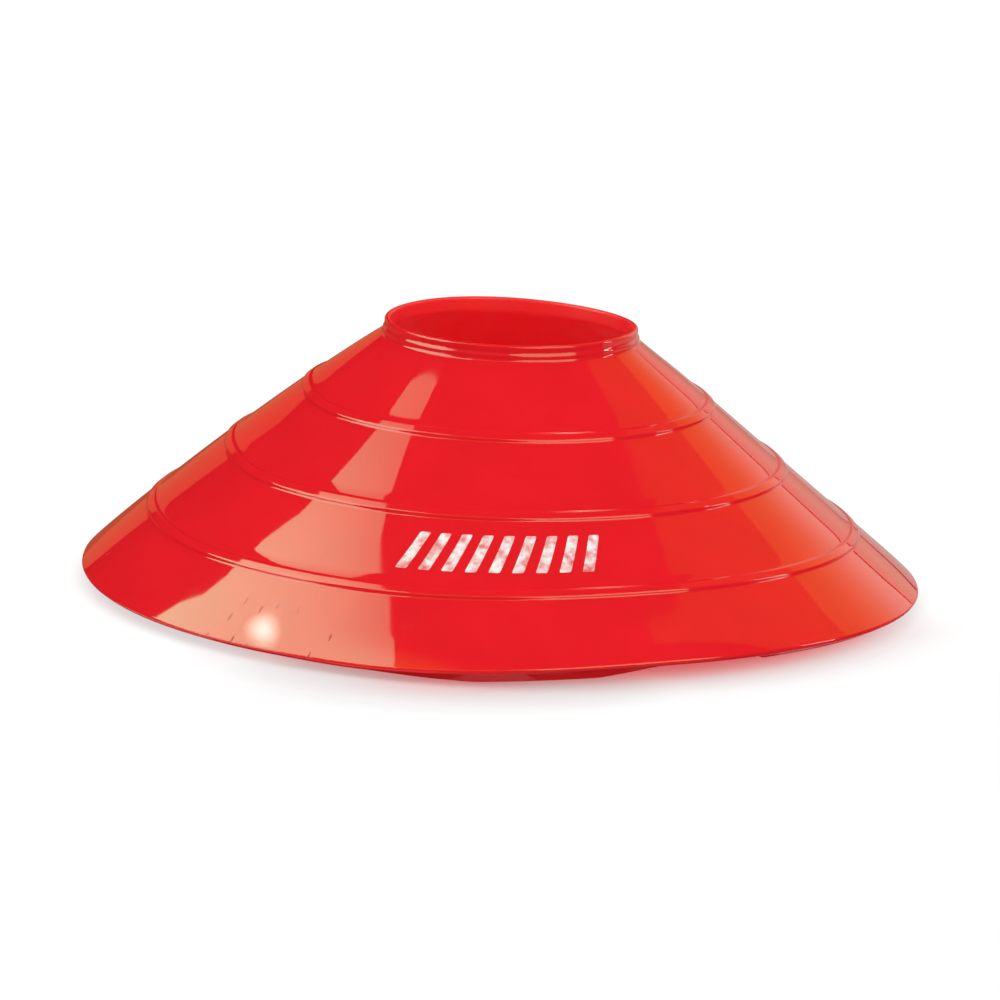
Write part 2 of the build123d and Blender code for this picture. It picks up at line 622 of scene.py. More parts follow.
@dataclass(frozen=True)
class MouldedPlastic:
    """Glossy or satin moulded plastic with faint ripples, uneven pigment and rubbed marks.

    Attributes:
        name: Name of the material.
        colour: Base colour.
        roughness: Roughness of the clean surface.
        roughness_spread: How far the roughness wanders.
        ripple_height: Height of the fine ripples in millimetres.
        wave_height: Height of the long waves left by the mould, in millimetres.
        rub_start: Radius in millimetres where rubbed marks begin.
        rub_full: Radius at which they are densest.
        rub_share: Strength of the rubbed marks.
        glow_through: Part of the light that passes under the surface.
        glow_reach: How far red light gets in the plastic, in millimetres.
        glow_spread: Part of that reach for red, green and blue.
        bending: Refractive index.
        deep_pigment: Share of the colour where the pigment is deepest.
        light_pigment: Share of it where the pigment is lightest.
        worn_pigment: Share of it in a rubbed mark.
        worn_dullness: Roughness that a rubbed mark adds.
        scuff_angle: Angle in degrees of the place where the marks crowd.
        scuff_width: Width of that place in degrees.
        scuff_solid: Part of the width that is scuffed evenly.
        stroke_density: Marks to the metre across their length.
        stroke_stretch: Width of a mark over its length.
        stroke_slant: Slant of the marks in degrees.
        stroke_outside: Distance from a mark's middle line where it starts, in widths of a cell.
        stroke_inside: Distance where it is whole.
        cloud: Clouds of pigment.
        haze: Patches of duller gloss.
        rare: Places away from the scuff that are rubbed too.
        ripple: Fine ripples.
        wave: Long waves.
    """

    name: str
    colour: Colour
    roughness: float
    roughness_spread: float
    ripple_height: float
    wave_height: float
    rub_start: float
    rub_full: float
    rub_share: float
    glow_through: float
    glow_reach: float
    glow_spread: tuple[float, float, float] = (1.0, 0.05, 0.05)
    bending: float = 1.5
    deep_pigment: float = 0.965
    light_pigment: float = 1.02
    worn_pigment: float = 0.62
    worn_dullness: float = 0.8
    scuff_angle: float = -36.0
    scuff_width: float = 15.0
    scuff_solid: float = 0.7
    stroke_density: float = 330.0
    stroke_stretch: float = 0.25
    stroke_slant: float = 35.0
    stroke_outside: float = 0.095
    stroke_inside: float = 0.055
    cloud: Grain = Grain(55.0, 3.0, 0.35, 0.65)
    haze: Grain = Grain(120.0, 4.0, 0.3, 0.7)
    rare: Grain = Grain(95.0, 2.0, 0.62, 0.68)
    ripple: Grain = Grain(420.0, 2.0)
    wave: Grain = Grain(38.0, 1.0)

    def strokes(self, graph: Graph, turn: Socket, radius: Socket) -> Socket:
        """Short thin slanted strokes on the unrolled band.

        Args:
            graph: The node tree of the material.
            turn: Angle round the cone in radians.
            radius: Distance from the axis in metres.

        Returns:
            1 in a stroke and 0 between strokes.
        """
        unrolled = graph.add("ShaderNodeCombineXYZ")
        graph.link(graph.times(turn, self.rub_full * MM), unrolled.inputs["X"])
        graph.link(radius, unrolled.inputs["Y"])
        slanted = graph.add("ShaderNodeMapping")
        slanted.inputs["Rotation"].default_value = (0.0, 0.0, radians(self.stroke_slant))
        slanted.inputs["Scale"].default_value = (1.0, self.stroke_stretch, 1.0)
        graph.link(unrolled.outputs["Vector"], slanted.inputs["Vector"])
        cells = graph.add("ShaderNodeTexVoronoi", feature="F1", voronoi_dimensions="2D")
        cells.inputs["Scale"].default_value = self.stroke_density
        cells.inputs["Randomness"].default_value = 1.0
        graph.link(slanted.outputs["Vector"], cells.inputs["Vector"])
        return graph.map_range(cells.outputs["Distance"], self.stroke_outside, self.stroke_inside)

    def rubbed_marks(self, graph: Graph, place: Socket) -> Socket:
        """Rubbed marks near the lip, which crowd at one scuffed place.

        Args:
            graph: The node tree of the material.
            place: Place in metres.

        Returns:
            Strength of the marks, 0 on clean plastic.
        """
        split = graph.add("ShaderNodeSeparateXYZ")
        graph.link(place, split.inputs["Vector"])
        turn = graph.calc("ARCTAN2", split.outputs["X"], graph.times(split.outputs["Y"], -1.0))
        radius = graph.length(graph.scaled(place, Vector((1.0, 1.0, 0.0))))
        near_lip = graph.map_range(radius, self.rub_start * MM, self.rub_full * MM)
        off_scuff = graph.calc("ABSOLUTE", graph.calc("SUBTRACT", turn, radians(self.scuff_angle)))
        half_scuff = radians(self.scuff_width) / 2
        scuffed = graph.map_range(off_scuff, half_scuff * self.scuff_solid, half_scuff, 1.0, 0.0)
        patches = graph.calc("MAXIMUM", scuffed, graph.spots(place, self.rare))
        rubbed = graph.times(graph.times(self.strokes(graph, turn, radius), patches), near_lip)
        return graph.times(rubbed, self.rub_share)

    def make(self) -> bpy.types.Material:
        """Build the node material.

        Returns:
            The finished material.
        """
        graph = Graph(bpy.data.materials.new(self.name))
        place = graph.place()
        inputs = graph.shader.inputs
        inputs["IOR"].default_value = self.bending
        inputs["Subsurface Weight"].default_value = self.glow_through
        inputs["Subsurface Radius"].default_value = self.glow_spread
        inputs["Subsurface Scale"].default_value = self.glow_reach * MM

        # Pigment: slow clouds of slightly deeper colour, darker in rubbed marks
        deep = tinted(self.colour, self.deep_pigment)
        light = tinted(self.colour, self.light_pigment)
        stops = ((self.cloud.low, deep), (self.cloud.high, light))
        pigment = graph.ramp(graph.noise(place, self.cloud), stops)
        marks = self.rubbed_marks(graph, place)
        worn = graph.mix_colour(marks, pigment, tinted(self.colour, self.worn_pigment))
        graph.link(worn, inputs["Base Color"])

        # Gloss: clean plastic wanders a little, rubbed marks are dull
        smoothest = self.roughness - self.roughness_spread
        clean = graph.spots(place, self.haze, smoothest, self.roughness + self.roughness_spread)
        graph.link(graph.calc("ADD", clean, graph.times(marks, self.worn_dullness)), inputs["Roughness"])

        # Relief: fine ripples over long soft waves
        coarse = graph.bump(graph.noise(place, self.wave), self.wave_height)
        fine = graph.bump(graph.noise(place, self.ripple), self.ripple_height, coarse)
        graph.link(fine, inputs["Normal"])
        return graph.owner


@dataclass(frozen=True)
class PrintedInk:
    """Satin ink with a soft grain, thin spots that let the plastic through, and a few worn specks.

    Attributes:
        name: Name of the material.
        colour: Colour of the full ink.
        under: Colour of the plastic below.
        thin_share: How much of the plastic shows where the ink is thin.
        roughness: Roughness of the ink.
        roughness_spread: How far the roughness wanders.
        bending: Refractive index.
        speck_share: How much of the plastic shows in a worn speck.
        grain_height: Height of the grain in millimetres.
        cloud: Places where the ink is thin.
        specks: Worn specks.
        grain: Grain of the film.
    """

    name: str
    colour: Colour
    under: Colour
    thin_share: float
    roughness: float
    roughness_spread: float = 0.06
    bending: float = 1.48
    speck_share: float = 0.55
    grain_height: float = 0.004
    cloud: Grain = Grain(420.0, 5.0, 0.3, 0.75)
    specks: Grain = Grain(1500.0, 2.0, 0.7, 0.76)
    grain: Grain = Grain(2600.0, 2.0, 0.3, 0.7)

    def make(self) -> bpy.types.Material:
        """Build the node material.

        Returns:
            The finished material.
        """
        graph = Graph(bpy.data.materials.new(self.name))
        place = graph.place()
        inputs = graph.shader.inputs
        inputs["IOR"].default_value = self.bending
        thin = graph.times(graph.spots(place, self.cloud), self.thin_share)
        film = graph.mix_colour(thin, self.colour, self.under)
        specks = graph.times(graph.spots(place, self.specks), self.speck_share)
        graph.link(graph.mix_colour(specks, film, self.under), inputs["Base Color"])
        grain = graph.noise(place, self.grain)
        smoothest = self.roughness - self.roughness_spread
        roughest = self.roughness + self.roughness_spread
        rough = graph.map_range(grain, self.grain.low, self.grain.high, smoothest, roughest)
        graph.link(rough, inputs["Roughness"])
        graph.link(graph.bump(grain, self.grain_height), inputs["Normal"])
        return graph.owner


def mesh_object(name: str, points: np.ndarray, faces: list[tuple[int, ...]]) -> bpy.types.Object:
    """Make a mesh object in the scene.

    Args:
        name: Name of the piece.
        points: Corners in metres, one row each.
        faces: Corner numbers of each face.

    Returns:
        The new object, shaded smooth.
    """
    mesh = bpy.data.meshes.new(name)
    mesh.from_pydata(points.tolist(), [], faces)
    mesh.polygons.foreach_set("use_smooth", [True] * len(mesh.polygons))
    mesh.update()
    return scene_object(name, mesh)


def scene_object(name: str, data: bpy.types.ID) -> bpy.types.Object:
    """Put an object in the scene.

    Args:
        name: Name of the object.
        data: Its mesh, light or camera.

    Returns:
        The new object.
    """
    thing = bpy.data.objects.new(name, data)
    bpy.context.scene.collection.objects.link(thing)
    return thing


@dataclass
class ConeShell:
    """The moulding: collar, ridged slope, lip and notched foot, in one wall of red plastic.

    Its height and the radius of its lip come from the frame, and the other sizes are in millimetres.
    """

    name: str = "cone_shell_moulding"
    segments: int = 360
    collar_radius: float = 30.3
    collar_wall: float = 1.3
    rim_rounding: float = 0.62
    rim_ring_height: float = 1.5
    collar_step: float = 0.4
    collar_step_sweep: float = 38.0
    collar_crease: float = 1.2
    throat_rounding: float = 1.6
    slope_top_radius: float = 30.7
    slope_top_level: float = 61.5
    wall: float = 1.2
    ridge_count: int = 3
    ridge_height: float = 0.42
    ridge_upper_run: float = 1.1
    ridge_crest_width: float = 1.4
    ridge_lower_run: float = 1.1
    ridge_lead_run: float = 2.4
    ridge_lead_turn: float = 2.2
    lowest_band_width: float = 15.9
    nose_radius: float = 0.7
    foot_height: float = 2.8
    foot_inset: float = 1.2
    foot_thickness: float = 1.8
    foot_edge_rounding: float = 0.3
    foot_corner_radius: float = 0.15
    foot_root_fillet: float = 1.0
    notches: FootNotches = field(default_factory=FootNotches)

    def __post_init__(self) -> None:
        """Read the overall sizes from the frame and lay out the slope."""
        low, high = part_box(CadNode.SHELL.value)
        self.height = (high.z - low.z) / MM
        self.lip_radius = (high.x - low.x) / 2 / MM
        self.sway = Sway(self.lip_radius)
        nose_x = self.lip_radius - self.nose_radius
        nose_y = self.foot_height + self.nose_radius
        across = nose_x - self.slope_top_radius
        drop = self.slope_top_level - nose_y
        self.slope = atan2(drop, across) - asin(self.nose_radius / hypot(across, drop))
        top_x = nose_x + self.nose_radius * sin(self.slope)
        top_y = nose_y + self.nose_radius * cos(self.slope)
        self.nose_top = (top_x, top_y)

    @property
    def ridge_pitch(self) -> float:
        """Step in radius from one ridge to the next."""
        return (self.lip_radius - self.lowest_band_width - self.collar_radius) / self.ridge_count

    def slope_level(self, radius: float) -> float:
        """Height of the outer slope at a radius."""
        return self.slope_top_level - (radius - self.slope_top_radius) * tan(self.slope)

    def inner_level(self, radius: float) -> float:
        """Height of the wall's inner face at a radius."""
        return self.slope_level(radius) - self.wall / cos(self.slope)

    def ridge_radius(self, number: int) -> float:
        """Radius of a ridge's crest, counted from 1 at the top."""
        return self.collar_radius + number * self.ridge_pitch

    def draw_collar(self, pen: SectionPen) -> None:
        """Draw the collar's outside: rim ring, soft step, wider ring and the crease into the slope.

        Args:
            pen: The pen, on the outside of the rim and heading down.
        """
        sweep = radians(self.collar_step_sweep)
        step_radius = self.collar_step / 2 / (1 - cos(sweep))
        pen.run_to((self.collar_radius, self.height - self.rim_ring_height))
        pen.arc(step_radius, sweep)
        pen.arc(step_radius, -sweep)
        pen.round_corner((self.slope_top_radius, self.slope_top_level), -self.slope, self.collar_crease)

    def draw_ridge(self, pen: SectionPen, number: int) -> None:
        """Draw the slope down to a ridge, and the ridge: a step up, a flat crest and a step down.

        Args:
            pen: The pen, on the slope.
            number: Which ridge, counted from 1 at the top.
        """
        lead = radians(self.ridge_lead_turn)
        back = self.ridge_lead_run + self.ridge_upper_run + self.ridge_crest_width / 2
        start = self.ridge_radius(number) - back * cos(self.slope)
        pen.run_to((start, self.slope_level(start)))
        pen.heading = -self.slope
        pen.arc(self.ridge_lead_run / sin(lead), lead)
        pen.heading = -self.slope
        for run, way in ((self.ridge_upper_run, 1.0), (self.ridge_lower_run, -1.0)):
            sweep = 2 * atan(self.ridge_height / run)
            radius = run / sin(sweep) / 2
            pen.arc(radius, way * sweep)
            pen.arc(radius, -way * sweep)
            if way > 0:
                pen.run(self.ridge_crest_width)

    def draw_foot(self, pen: SectionPen) -> None:
        """Draw the lip's round nose and the foot set back under it.

        Args:
            pen: The pen, on the lowest band.
        """
        foot_radius = self.lip_radius - self.foot_inset
        foot_bore = foot_radius - self.foot_thickness
        pen.run_to(self.nose_top)
        pen.heading = -self.slope
        pen.arc(self.nose_radius, self.slope - HALF_TURN)
        pen.round_corner((foot_radius, self.foot_height), -QUARTER_TURN, self.foot_corner_radius)
        pen.round_corner((foot_radius, 0.0), HALF_TURN, self.foot_edge_rounding)
        pen.round_corner((foot_bore, 0.0), QUARTER_TURN, self.foot_edge_rounding)
        root = (foot_bore, self.inner_level(foot_bore))
        pen.round_corner(root, HALF_TURN - self.slope, self.foot_root_fillet)

    def section(self) -> tuple[np.ndarray, int]:
        """Draw the whole section of the wall.

        Returns:
            The points of the closed section, and the number of the first point inside the foot.
        """
        bore = self.collar_radius - self.collar_wall
        pen = SectionPen((bore + self.rim_rounding, self.height), 0.0)
        pen.round_corner((self.collar_radius, self.height), -QUARTER_TURN, self.rim_rounding)
        self.draw_collar(pen)
        for number in range(1, self.ridge_count + 1):
            self.draw_ridge(pen, number)
        self.draw_foot(pen)
        first_inside = len(pen.points)
        pen.round_corner((bore, self.inner_level(bore)), QUARTER_TURN, self.throat_rounding)
        pen.round_corner((bore, self.height), 0.0, self.rim_rounding)
        return np.array(pen.points[:-1]), first_inside

    def placed(self, radius: np.ndarray, level: np.ndarray, angle: np.ndarray) -> np.ndarray:
        """Points of the bent cone, in metres.

        Args:
            radius: Radii on the straight cone, in millimetres.
            level: Heights on the straight cone.
            angle: Angles round it, in degrees.

        Returns:
            One row of x, y and z for each point.
        """
        sway = self.sway
        share = sway.share(radius)
        over_foot = np.clip(level / self.foot_height, 0.0, 1.0)
        forward = sway.forward(radius, angle) * over_foot
        raised = share * sway.rise(angle) + sway.swell(radius, angle)
        lowered = sway.dip(radius, angle) + forward * tan(self.slope) + sway.droop(radius, angle) * over_foot
        bent_radius = radius + share * sway.outward(angle) + forward
        turn = np.radians(angle)
        bent = [bent_radius * np.sin(turn), -bent_radius * np.cos(turn), level + raised - lowered]
        return np.stack(bent, axis=-1) * MM

    def build(self) -> bpy.types.Object:
        """Turn the section about the axis, cut the notches and bend the shell.

        Returns:
            The shell, with its inside faces numbered for the second finish.
        """
        section, first_inside = self.section()
        count = len(section)
        turns = np.arange(self.segments) * FULL_CIRCLE / self.segments - HALF_CIRCLE
        tongue = self.notches.tongue_start
        turns = np.union1d(turns, [tongue - self.notches.tongue_edge, tongue - self.notches.tongue_edge / 2])
        rounds = len(turns)
        angle = np.repeat(turns, count)
        radius = np.tile(section[:, 0], rounds)
        level = np.tile(section[:, 1], rounds)
        share = self.notches.depth_share(angle, radius)
        below = np.clip(self.foot_height - level, 0.0, None)
        level = level + below * (1.0 - share)
        points = self.placed(radius, level, angle)
        points[:, 2] = np.clip(points[:, 2], 0.0, None)
        faces = []
        for segment in range(rounds):
            here = segment * count
            there = (segment + 1) % rounds * count
            for step in range(count):
                after = (step + 1) % count
                faces.append((here + step, here + after, there + after, there + step))
        shell = mesh_object(self.name, points, faces)
        inside = [ShellFace.OUTSIDE.value] * first_inside + [ShellFace.INSIDE.value] * (count - first_inside)
        shell.data.polygons.foreach_set("material_index", inside * rounds)
        return shell

    def dress(self, shell: bpy.types.Object) -> None:
        """Give the shell its finishes and its place in the frame.

        Args:
            shell: The built shell.
        """
        red = slot_colour(Slot.RED_PLASTIC)
        outside = MouldedPlastic(
            name="red_plastic_gloss",
            colour=red,
            roughness=0.034,
            roughness_spread=0.008,
            ripple_height=0.0012,
            wave_height=0.012,
            rub_start=86.0,
            rub_full=97.0,
            rub_share=0.8,
            glow_through=0.25,
            glow_reach=2.0,
        )
        inside = MouldedPlastic(
            name="red_plastic_satin",
            colour=tinted(red, 0.97),
            roughness=0.42,
            roughness_spread=0.05,
            ripple_height=0.006,
            wave_height=0.02,
            rub_start=90.0,
            rub_full=99.0,
            rub_share=0.3,
            glow_through=0.9,
            glow_reach=6.0,
        )
        shell.data.materials.append(outside.make())
        shell.data.materials.append(inside.make())
        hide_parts(CadNode.SHELL.value)
        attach(shell, BODY)


@dataclass
class PrintedBars:
    """A row of slanted white bars printed on the front of the third band."""

    shell: ConeShell
    name: str = "print_marking_bars"
    band: int = 3
    count: int = 9
    width: float = 2.6
    length: float = 11.0
    pitch: float = 5.2
    slant: float = 3.4
    drop: float = -0.23
    rounding: float = 0.4
    film: float = 0.06
    sunk: float = 0.03
    rows: int = 24
    columns: int = 6

    def middle_radius(self) -> float:
        """Radius of the middle of the band that carries the print."""
        ridges = self.shell.ridge_radius(self.band - 1) + self.shell.ridge_radius(self.band)
        return ridges / 2 + self.drop

    def bar_face(self, lift: float, number: int) -> np.ndarray:
        """Grid of points of one bar at a height over the band.

        Args:
            lift: Height square to the slope, in millimetres.
            number: Which bar, counted from 0 on the left.

        Returns:
            One row of x, y and z for each point, row by row from the bottom of the bar.
        """
        shell = self.shell
        middle = self.middle_radius()
        along = self.length / 2 * np.sin(np.linspace(-QUARTER_TURN, QUARTER_TURN, self.rows))
        from_end = np.clip(self.length / 2 - np.abs(along), 0.0, self.rounding)
        pulled_in = self.rounding - np.sqrt(self.rounding**2 - (self.rounding - from_end) ** 2)
        half = self.width / 2 - pulled_in
        across = np.linspace(-1.0, 1.0, self.columns)
        offset = half[:, None] * across[None, :] + (self.slant * along / self.length)[:, None]
        offset = offset + (number - (self.count - 1) / 2) * self.pitch
        run = np.repeat(along[:, None], self.columns, axis=1)
        radius = middle - run * cos(shell.slope) + lift * sin(shell.slope)
        level = shell.slope_level(middle) + run * sin(shell.slope) + lift * cos(shell.slope)
        angle = np.degrees(offset / middle)
        return shell.placed(radius.ravel(), level.ravel(), angle.ravel())

    def bar_faces(self, first: int) -> list[tuple[int, ...]]:
        """Faces of one closed bar.

        Args:
            first: Number of the bar's first point.

        Returns:
            Corner numbers of its top, its underside and its edge.
        """
        grid = self.rows * self.columns
        faces = []
        for row in range(self.rows - 1):
            for column in range(self.columns - 1):
                corner = first + row * self.columns + column
                top = (corner, corner + 1, corner + self.columns + 1, corner + self.columns)
                faces.append(top)
                faces.append(tuple(number + grid for number in reversed(top)))
        edge = list(range(self.columns))
        edge += [row * self.columns + self.columns - 1 for row in range(1, self.rows)]
        edge += [grid - 1 - column for column in range(1, self.columns)]
        edge += [row * self.columns for row in range(self.rows - 2, 0, -1)]
        for here, there in zip(edge, edge[1:] + edge[:1]):
            faces.append((first + there, first + here, first + here + grid, first + there + grid))
        return faces

    def build(self) -> bpy.types.Object:
        """Lay all bars on the bent band.

        Returns:
            The print, as one piece of closed films.
        """
        points = []
        faces = []
        for number in range(self.count):
            faces += self.bar_faces(sum(len(part) for part in points))
            points.append(self.bar_face(self.film, number))
            points.append(self.bar_face(-self.sunk, number))
        return mesh_object(self.name, np.concatenate(points), faces)

    def dress(self, bars: bpy.types.Object) -> None:
        """Give the print its ink and its place in the frame.

        Args:
            bars: The built print.
        """
        ink = PrintedInk(
            name="white_print_ink",
            colour=slot_colour(Slot.WHITE_INK),
            under=slot_colour(Slot.RED_PLASTIC),
            thin_share=0.95,
            roughness=0.38,
        )
        bars.data.materials.append(ink.make())
        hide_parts(CadNode.PRINT.value)
        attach(bars, BODY)


@dataclass(frozen=True)
class Glow:
    """Colour and strength of a light."""

    tint: Tint
    strength: float


@dataclass(frozen=True)
class Fade:
    """How the light of a card changes across it.

    Attributes:
        last: Light at the end of the fade.
        start: Point of the card where the fade starts, in millimetres.
        end: Point where a straight fade ends.
        rings: Half diameters of the last ring, for a fade in oval rings about the start.
    """

    last: Glow
    start: Point
    end: Point = (0.0, 0.0)
    rings: tuple[Point, Point] | None = None

    def share(self, graph: Graph) -> Socket:
        """Part of the fade that is reached at a place on the card.

        Args:
            graph: The node tree of the light.

        Returns:
            0 where the fade starts and 1 where it ends.
        """
        start = Vector((*self.start, 0.0)) * MM
        place = graph.shifted(graph.place(), start)
        if self.rings is None:
            reach = Vector((*self.end, 0.0)) * MM - start
            return graph.map_range(graph.dot(place, reach.normalized() / reach.length), 0.0, 1.0)
        (first_x, first_y), (second_x, second_y) = self.rings
        area = (first_x * second_y - first_y * second_x) * MM
        in_rings = graph.add("ShaderNodeCombineXYZ")
        for axis, x, y in (("X", second_y, -second_x), ("Y", -first_y, first_x)):
            graph.link(graph.dot(place, Vector((x / area, y / area, 0.0))), in_rings.inputs[axis])
        return graph.map_range(graph.length(in_rings.outputs["Vector"]), 0.0, 1.0)


@dataclass(frozen=True)
class Hang:
    """Where a card hangs.

    Attributes:
        bearing: Direction of the card from the cone in degrees, from +X towards +Y.
        rise: Elevation of that direction in degrees.
        distance: Distance from the aim in millimetres.
        aim_level: Height of the aim on the cone's axis, in millimetres.
    """

    bearing: float
    rise: float
    distance: float
    aim_level: float = 30.0

    def matrix(self) -> Matrix:
        """Place and turn of a card that faces the aim.

        Returns:
            The matrix, in metres.
        """
        bearing = radians(self.bearing)
        rise = radians(self.rise)
        out = Vector((cos(rise) * cos(bearing), cos(rise) * sin(bearing), sin(rise)))
        side = Vector((sin(bearing), -cos(bearing), 0.0))
        up = side.cross(out)
        place = out * self.distance * MM + Vector((0.0, 0.0, self.aim_level * MM))
        turn = Matrix((side, up, side.cross(up))).transposed().to_4x4()
        return Matrix.Translation(place) @ turn


@dataclass
class GlowCard:
    """A lit card round the cone that shows only in the gloss of the plastic.

    Attributes:
        name: Name of the card.
        hang: Where it hangs.
        outline: Corners in millimetres, to the side and up.
        glow: Its light.
        fade: How the light changes across it.
    """

    name: str
    hang: Hang
    outline: list[Point]
    glow: Glow
    fade: Fade | None = None

    def light(self) -> bpy.types.Material:
        """Build the card's light.

        Returns:
            An emission material, with a fade where the card has one.
        """
        graph = Graph(bpy.data.materials.new(self.name + "_light"))
        emission = graph.add("ShaderNodeEmission")
        colour = emission.inputs["Color"]
        strength = emission.inputs["Strength"]
        colour.default_value = self.glow.tint.value
        strength.default_value = self.glow.strength
        if self.fade is not None:
            share = self.fade.share(graph)
            last = self.fade.last
            graph.link(graph.mix_colour(share, self.glow.tint.value, last.tint.value), colour)
            faded = graph.map_range(share, 0.0, 1.0, self.glow.strength, last.strength, smooth=False)
            graph.link(faded, strength)
        graph.show(emission.outputs["Emission"])
        return graph.owner

    def build(self) -> None:
        """Hang the card in the studio."""
        corners = np.array([(x, y, 0.0) for x, y in self.outline]) * MM
        card = mesh_object(self.name, corners, [tuple(range(len(self.outline)))])
        card.matrix_world = self.hang.matrix()
        card.data.materials.append(self.light())
        gloss_only(card)


def block(width: float, height: float) -> list[Point]:
    """Corners of an upright rectangle about its middle.

    Args:
        width: Its width.
        height: Its height.

    Returns:
        The corners in order.
    """
    right = width / 2
    top = height / 2
    return [(-right, -top), (right, -top), (right, top), (-right, top)]


def oval(centre: Point, first_reach: Point, second_reach: Point, corners: int = 16) -> list[Point]:
    """Corners of an oval.

    Args:
        centre: Middle of the oval.
        first_reach: Half of one diameter.
        second_reach: Half of the diameter that goes with it.
        corners: How many corners.

    Returns:
        The corners in order.
    """
    found = []
    for corner in range(corners):
        turn = FULL_TURN * corner / corners
        x = centre[0] + first_reach[0] * cos(turn) + second_reach[0] * sin(turn)
        y = centre[1] + first_reach[1] * cos(turn) + second_reach[1] * sin(turn)
        found.append((x, y))
    return found


def half_floor(way: float) -> list[Point]:
    """Corners of the floor behind or before the cone, with the cone's round place left out.

    Args:
        way: 1 for the floor behind and -1 for the floor before.

    Returns:
        The corners in order.
    """
    edge = -10
    near = 103
    far = 1300
    arch = [(-96, 38), (-73, 73), (0, near), (73, 73), (96, 38)]
    inner = [(-near, edge), *((x, way * y) for x, y in arch), (near, edge)]
    return [(-far, edge), *inner, (far, edge), (far, way * far), (-far, way * far)]


def gloss_only(thing: bpy.types.Object) -> None:
    """Leave an object of the studio to be seen in reflections alone.

    Args:
        thing: The object.
    """
    thing.visible_camera = False
    thing.visible_diffuse = False
    thing.visible_transmission = False
    thing.visible_volume_scatter = False
    thing.visible_shadow = False


